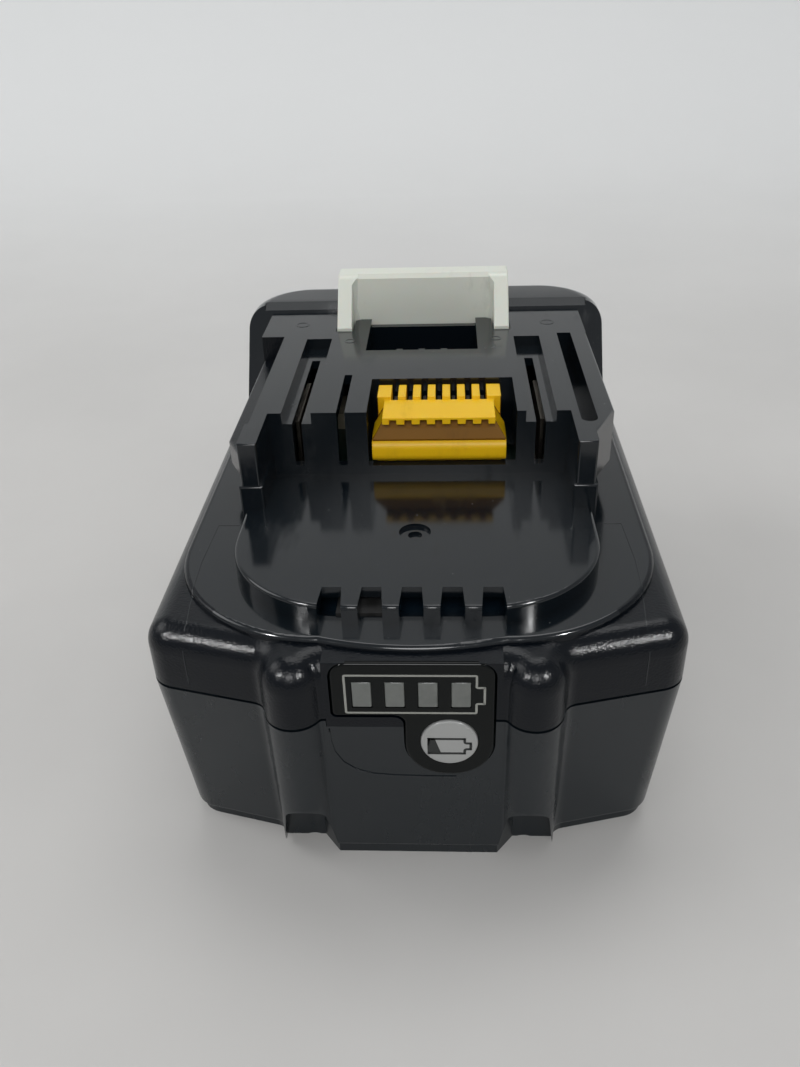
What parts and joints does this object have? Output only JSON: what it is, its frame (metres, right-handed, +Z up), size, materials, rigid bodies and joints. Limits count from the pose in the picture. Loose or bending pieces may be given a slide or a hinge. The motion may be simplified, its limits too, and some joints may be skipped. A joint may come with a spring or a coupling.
{
  "type": "power tool battery pack",
  "caption": "Slide-on battery pack for cordless tools with rails, power slots, a signal connector, a sprung latch and a charge gauge.",
  "frame": {"origin": "centre of the bounding box at the resting face", "axes": "+X across the pack, +Y from the gauge end to the latch end, +Z up"},
  "size_m": [0.0784, 0.115, 0.065],
  "materials": {
    "case_lower": "satin moulded black",
    "case_upper": "fine texture on the shoulder, gloss on the plateau",
    "gauge_fascia": "gloss black",
    "light_pipe": "smoked grey",
    "button_face": "silver-grey",
    "latch_resin": "pale grey-green nylon",
    "thumb_button": "ribbed black",
    "spring_wire": "drawn wire",
    "circuit_board": "solder mask",
    "lamp": "clear resin",
    "switch_metal": "stamped",
    "cell_sleeve": "shrink sleeve",
    "insulator_paper": "fibre paper",
    "holder_resin": "moulded",
    "nickel_strip": "rolled nickel",
    "contact_metal": "plated",
    "connector_resin": "moulded yellow",
    "fuse_body": "ceramic",
    "sensor_bead": "epoxy",
    "ribbon_film": "film",
    "foam": "closed cell",
    "screw_steel": "blackened"
  },
  "bodies": {
    "pack": {"lower_case": "case_lower", "upper_case": "case_upper", "gauge_panel": "gauge_fascia", "gauge_windows": "light_pipe", "gauge_board": "circuit_board", "gauge_leds": "lamp", "tact_switch": "switch_metal", "latch_spring_left": "spring_wire", "latch_spring_right": "spring_wire", "cell_01": "cell_sleeve", "cell_02": "cell_sleeve", "cell_03": "cell_sleeve", "cell_04": "cell_sleeve", "cell_05": "cell_sleeve", "cell_06": "cell_sleeve", "cell_07": "cell_sleeve", "cell_08": "cell_sleeve", "cell_09": "cell_sleeve", "cell_10": "cell_sleeve", "cell_insulators": "insulator_paper", "cell_holder_left": "holder_resin", "cell_holder_right": "holder_resin", "cell_straps_left": "nickel_strip", "cell_straps_right": "nickel_strip", "negative_lead": "nickel_strip", "positive_lead": "nickel_strip", "insulation_sheet_left": "insulator_paper", "insulation_sheet_right": "insulator_paper", "foam_pads": "foam", "control_board": "circuit_board", "board_screws": "screw_steel", "positive_terminal": "contact_metal", "negative_terminal": "contact_metal", "fuse": "fuse_body", "thermistor": "sensor_bead", "gauge_ribbon": "ribbon_film", "signal_connector": "connector_resin", "connector_pins": "contact_metal", "case_screws": "screw_steel"},
    "latch_carriage": {"latch": "latch_resin", "release_button": "thumb_button"},
    "gauge_key": {"gauge_button": "button_face"}
  },
  "joints": [
    {"name": "latch_slide", "type": "slide", "parent": "pack", "child": "latch_carriage", "axis": [0, 0, -1], "range_m": [0, 0.0055], "stiffness_N_per_m": 800, "springref_m": -0.004, "deforming": ["latch_spring_left", "latch_spring_right"]},
    {"name": "gauge_button_press", "type": "slide", "parent": "pack", "child": "gauge_key", "axis": [0, 1, 0], "range_m": [0, 0.0004], "stiffness_N_per_m": 2000, "springref_m": -0.0002}
  ]
}
